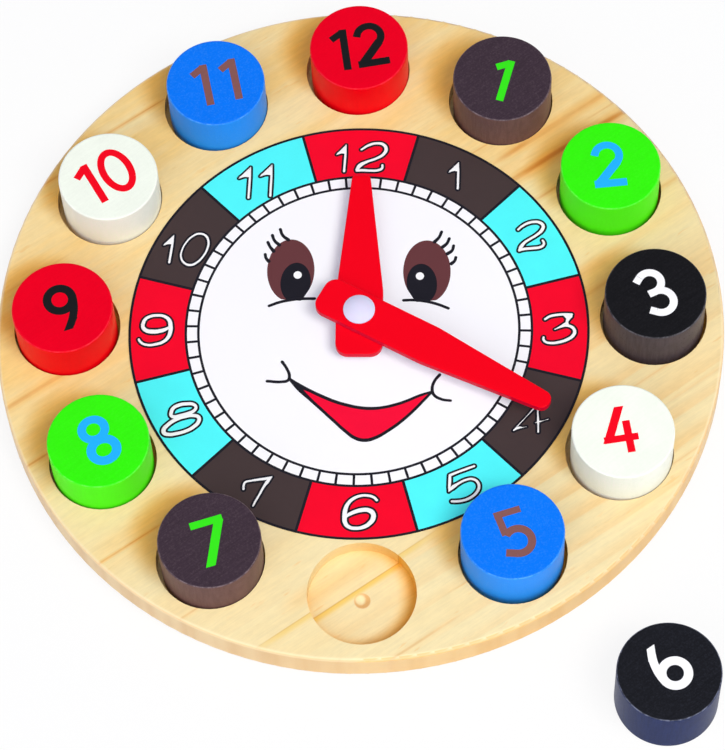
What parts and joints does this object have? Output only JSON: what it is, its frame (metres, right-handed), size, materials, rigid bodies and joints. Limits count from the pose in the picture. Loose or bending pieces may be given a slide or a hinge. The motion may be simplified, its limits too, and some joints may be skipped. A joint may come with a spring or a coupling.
{
  "type": "teaching clock",
  "caption": "Round wooden teaching clock with a printed dial, hands that turn on a central rivet, and numbered pegs that lift out of pockets around the board.",
  "frame": {"origin": "centre of the board's underside, on the axis that the hands turn about", "axes": "+Z out of the dial, +Y to twelve o'clock, +X to three o'clock"},
  "size_m": [0.3, 0.3322, 0.035],
  "materials": {
    "pine_board": "clear satin lacquer over pale pine, grain running across the board",
    "dial_paper": "glossy printed sheet, glued down",
    "hand_plastic": "smooth red moulding",
    "rivet_plastic": "smooth white moulding",
    "peg_paint_red": "red satin paint on turned wood",
    "peg_paint_brown": "brown satin paint on turned wood",
    "peg_paint_green": "green satin paint on turned wood",
    "peg_paint_black": "black satin paint on turned wood",
    "peg_paint_cream": "cream satin paint on turned wood",
    "peg_paint_blue": "blue satin paint on turned wood"
  },
  "bodies": {
    "clock_board": {"board": "pine_board", "dial_sheet": "dial_paper", "pivot_sleeve": "rivet_plastic", "pivot_pin": "rivet_plastic"},
    "hour_hand": {"hour_hand": "hand_plastic"},
    "minute_hand": {"minute_hand": "hand_plastic"},
    "peg_1": {"peg_1": "peg_paint_brown"},
    "peg_2": {"peg_2": "peg_paint_green"},
    "peg_3": {"peg_3": "peg_paint_black"},
    "peg_4": {"peg_4": "peg_paint_cream"},
    "peg_5": {"peg_5": "peg_paint_blue"},
    "peg_6": {"peg_6": "peg_paint_black"},
    "peg_7": {"peg_7": "peg_paint_brown"},
    "peg_8": {"peg_8": "peg_paint_green"},
    "peg_9": {"peg_9": "peg_paint_red"},
    "peg_10": {"peg_10": "peg_paint_cream"},
    "peg_11": {"peg_11": "peg_paint_blue"},
    "peg_12": {"peg_12": "peg_paint_red"}
  },
  "joints": [
    {"name": "hour_hand_turn", "type": "hinge", "parent": "clock_board", "child": "hour_hand", "pos_m": [0, 0, 0.02195], "axis": [0, 0, 1], "continuous": true},
    {"name": "minute_hand_turn", "type": "hinge", "parent": "clock_board", "child": "minute_hand", "pos_m": [0, 0, 0.0251], "axis": [0, 0, 1], "continuous": true},
    {"name": "peg_1_lift", "type": "slide", "parent": "clock_board", "child": "peg_1", "axis": [0, 0, 1], "range_m": [0, 0.04]},
    {"name": "peg_2_lift", "type": "slide", "parent": "clock_board", "child": "peg_2", "axis": [0, 0, 1], "range_m": [0, 0.04]},
    {"name": "peg_3_lift", "type": "slide", "parent": "clock_board", "child": "peg_3", "axis": [0, 0, 1], "range_m": [0, 0.04]},
    {"name": "peg_4_lift", "type": "slide", "parent": "clock_board", "child": "peg_4", "axis": [0, 0, 1], "range_m": [0, 0.04]},
    {"name": "peg_5_lift", "type": "slide", "parent": "clock_board", "child": "peg_5", "axis": [0, 0, 1], "range_m": [0, 0.04]},
    {"name": "peg_6_return", "type": "slide", "parent": "clock_board", "child": "peg_6", "axis": [-0.7666, 0.2587, 0.5877], "range_m": [0, 0.1565]},
    {"name": "peg_7_lift", "type": "slide", "parent": "clock_board", "child": "peg_7", "axis": [0, 0, 1], "range_m": [0, 0.04]},
    {"name": "peg_8_lift", "type": "slide", "parent": "clock_board", "child": "peg_8", "axis": [0, 0, 1], "range_m": [0, 0.04]},
    {"name": "peg_9_lift", "type": "slide", "parent": "clock_board", "child": "peg_9", "axis": [0, 0, 1], "range_m": [0, 0.04]},
    {"name": "peg_10_lift", "type": "slide", "parent": "clock_board", "child": "peg_10", "axis": [0, 0, 1], "range_m": [0, 0.04]},
    {"name": "peg_11_lift", "type": "slide", "parent": "clock_board", "child": "peg_11", "axis": [0, 0, 1], "range_m": [0, 0.04]},
    {"name": "peg_12_lift", "type": "slide", "parent": "clock_board", "child": "peg_12", "axis": [0, 0, 1], "range_m": [0, 0.04]}
  ]
}
